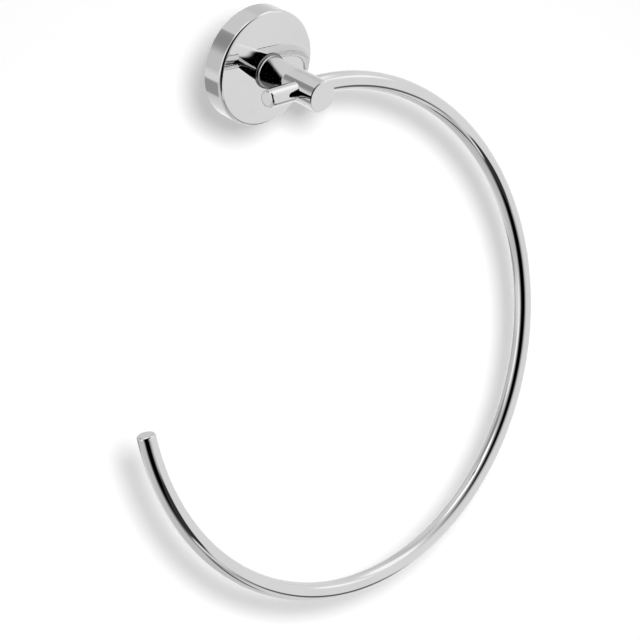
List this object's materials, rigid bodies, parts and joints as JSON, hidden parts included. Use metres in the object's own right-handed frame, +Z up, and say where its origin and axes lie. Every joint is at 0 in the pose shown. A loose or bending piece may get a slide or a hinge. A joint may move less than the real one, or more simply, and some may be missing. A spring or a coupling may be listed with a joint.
{
  "type": "towel ring",
  "caption": "Open round towel ring bent from one rod, clamped in a short round post that stands out of a round wall rosette.",
  "frame": {"origin": "on the axis of the rosette and post, in the plane of the wall", "axes": "+Z up, +X to the right as seen from the room, +Y into the wall, so the ring stands off towards -Y"},
  "size_m": [0.2293, 0.1027, 0.2413],
  "materials": {
    "chrome_rosette": "mirror polished chrome plate",
    "chrome_post": "mirror polished chrome plate",
    "chrome_rod": "mirror polished chrome plate",
    "zinc_casting": "dull cast zinc",
    "zinc_plated_steel": "zinc plated",
    "plain_steel": "plain steel"
  },
  "bodies": {
    "root": {"rosette": "chrome_rosette", "post": "chrome_post", "ring": "chrome_rod", "wall_bracket": "zinc_casting", "post_washer": "zinc_plated_steel", "post_screw": "zinc_plated_steel", "ring_set_screw": "plain_steel", "rosette_set_screw": "plain_steel"}
  },
  "joints": []
}
